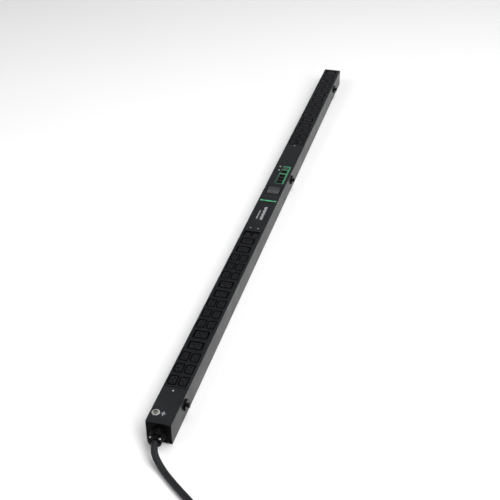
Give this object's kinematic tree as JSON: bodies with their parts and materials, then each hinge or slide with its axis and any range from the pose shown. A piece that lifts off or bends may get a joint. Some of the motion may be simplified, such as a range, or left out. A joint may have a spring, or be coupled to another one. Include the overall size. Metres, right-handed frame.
{
  "type": "rack power strip",
  "caption": "Tall slim vertical rack power strip with paired and single sunken outlets, a display, breakers, ports, side mounting pegs and a coiled mains cord with its plug.",
  "frame": {"origin": "centre of the flat back face of the enclosure", "axes": "+Z out of the front (outlet) face, +Y along the length from the cord end to the far end, +X to the right seen from the front with the cord end nearest"},
  "size_m": [0.2603, 2.2786, 0.066],
  "materials": {
    "painted_steel": "fine textured powder coat, dark charcoal",
    "black_steel": "black powder coat",
    "black_screw": "black zinc",
    "outlet_plastic": "moulded black",
    "breaker_plastic": "moulded black",
    "rocker_plastic": "semi-gloss black",
    "button_rubber": "matte",
    "window": "clear window",
    "lcd": "unlit reflective display",
    "light_pipe": "frosted",
    "jack_plastic": "black",
    "circuit_board": "solder mask",
    "brass": "bare",
    "copper": "tinned copper bar",
    "nylon": "natural nylon",
    "bright_steel": "zinc or nickel plated",
    "green_label": "printed label",
    "white_print": "screen print",
    "peg_plastic": "moulded black",
    "gland_nylon": "moulded black nylon",
    "cord_rubber": "matte charcoal sheath",
    "plug_black": "moulded black",
    "plug_blue": "moulded blue",
    "brown_wire": "brown insulation",
    "blue_wire": "blue insulation",
    "green_wire": "green and yellow insulation"
  },
  "bodies": {
    "strip": {"rear_channel": "painted_steel", "lower_blank_panel": "painted_steel", "upper_blank_panel": "painted_steel", "lower_outlet_panel": "painted_steel", "upper_outlet_panel": "painted_steel", "controller_panel": "painted_steel", "cord_end_cap": "black_steel", "far_end_cap": "black_steel", "cap_screws": "black_screw", "panel_screws": "black_screw", "lower_c13_outlets": "outlet_plastic", "lower_c19_outlets": "outlet_plastic", "upper_c13_outlets": "outlet_plastic", "upper_c19_outlets": "outlet_plastic", "outlet_contacts": "brass", "outlet_boards": "circuit_board", "live_busbars": "copper", "neutral_busbars": "copper", "earth_busbars": "copper", "board_standoffs": "nylon", "breaker_guard": "outlet_plastic", "breaker_body_1": "breaker_plastic", "breaker_body_2": "breaker_plastic", "display_bezel": "outlet_plastic", "display_window": "window", "lcd_module": "lcd", "tact_switches": "breaker_plastic", "status_lights": "light_pipe", "network_jack": "jack_plastic", "accessory_jacks": "jack_plastic", "jack_contacts": "brass", "usb_socket": "bright_steel", "controller_board": "circuit_board", "port_label": "green_label", "accent_strip": "green_label", "printed_marks": "white_print", "ground_washer": "bright_steel", "ground_screw": "bright_steel", "mounting_pegs": "peg_plastic", "inner_nuts": "bright_steel", "gland_body": "gland_nylon", "gland_locknut": "gland_nylon", "gland_clamp": "gland_nylon", "gland_screws": "bright_steel", "current_sensors": "breaker_plastic", "live_wire": "brown_wire", "neutral_wire": "blue_wire", "earth_wire": "green_wire", "mains_cord": "cord_rubber", "cord_coil": "cord_rubber", "plug_cord_grip": "plug_black", "plug_handle": "plug_black", "plug_shroud": "plug_blue", "plug_pins": "brass"},
    "breaker_rocker_1": {"breaker_rocker_1": "rocker_plastic"},
    "breaker_rocker_2": {"breaker_rocker_2": "rocker_plastic"},
    "menu_button": {"menu_button": "button_rubber"},
    "scroll_button": {"scroll_button": "button_rubber"},
    "select_button": {"select_button": "button_rubber"},
    "reset_button": {"reset_button": "button_rubber"}
  },
  "joints": [
    {"name": "breaker_1_switch", "type": "hinge", "parent": "strip", "child": "breaker_rocker_1", "pos_m": [-0.0112, -0.1995, 0.0465], "axis": [1, 0, 0], "range_deg": [0, 16]},
    {"name": "breaker_2_switch", "type": "hinge", "parent": "strip", "child": "breaker_rocker_2", "pos_m": [0.0102, -0.1995, 0.0465], "axis": [1, 0, 0], "range_deg": [0, 16]},
    {"name": "menu_press", "type": "slide", "parent": "strip", "child": "menu_button", "axis": [0, 0, -1], "range_m": [0, 0.0008], "stiffness_N_per_m": 300},
    {"name": "scroll_press", "type": "slide", "parent": "strip", "child": "scroll_button", "axis": [0, 0, -1], "range_m": [0, 0.0008], "stiffness_N_per_m": 300},
    {"name": "select_press", "type": "slide", "parent": "strip", "child": "select_button", "axis": [0, 0, -1], "range_m": [0, 0.0008], "stiffness_N_per_m": 300},
    {"name": "reset_press", "type": "slide", "parent": "strip", "child": "reset_button", "axis": [0, 0, -1], "range_m": [0, 0.0005], "stiffness_N_per_m": 300}
  ]
}
